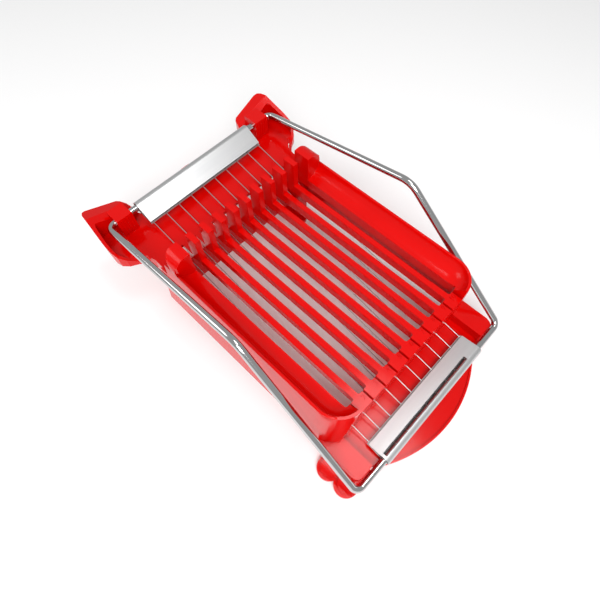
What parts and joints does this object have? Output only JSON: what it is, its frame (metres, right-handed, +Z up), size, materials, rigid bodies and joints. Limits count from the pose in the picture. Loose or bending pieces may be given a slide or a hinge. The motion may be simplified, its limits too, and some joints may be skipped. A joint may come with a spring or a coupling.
{
  "type": "wire egg slicer",
  "caption": "Hand slicer for eggs and soft foods: red moulded slotted tray on legs, with a hinged steel rod bail that carries tensioned cutting wires.",
  "frame": {"origin": "on the table, under the middle of the whole object", "axes": "+X from the hinge to the front, +Y across the tray, +Z up"},
  "size_m": [0.2, 0.128, 0.072],
  "materials": {
    "red_plastic": "gloss",
    "polished_rod": "polished",
    "satin_sheet": "satin",
    "cutting_wire": "drawn"
  },
  "bodies": {
    "base": {"base_rear": "red_plastic", "base_front": "red_plastic", "wall_left": "red_plastic", "wall_right": "red_plastic", "floor_bar_1": "red_plastic", "floor_bar_2": "red_plastic", "floor_bar_3": "red_plastic", "floor_bar_4": "red_plastic", "floor_bar_5": "red_plastic", "floor_bar_6": "red_plastic", "floor_bar_7": "red_plastic", "floor_bar_8": "red_plastic", "floor_bar_9": "red_plastic"},
    "bail": {"bail_frame": "polished_rod", "rear_clip": "satin_sheet", "front_clip": "satin_sheet", "wire_01": "cutting_wire", "wire_02": "cutting_wire", "wire_03": "cutting_wire", "wire_04": "cutting_wire", "wire_05": "cutting_wire", "wire_06": "cutting_wire", "wire_07": "cutting_wire", "wire_08": "cutting_wire", "wire_09": "cutting_wire", "wire_10": "cutting_wire"}
  },
  "joints": [
    {"name": "bail_hinge", "type": "hinge", "parent": "base", "child": "bail", "pos_m": [-0.0848, 0, 0.0526], "axis": [0, -1, 0], "range_deg": [0, 110]}
  ]
}
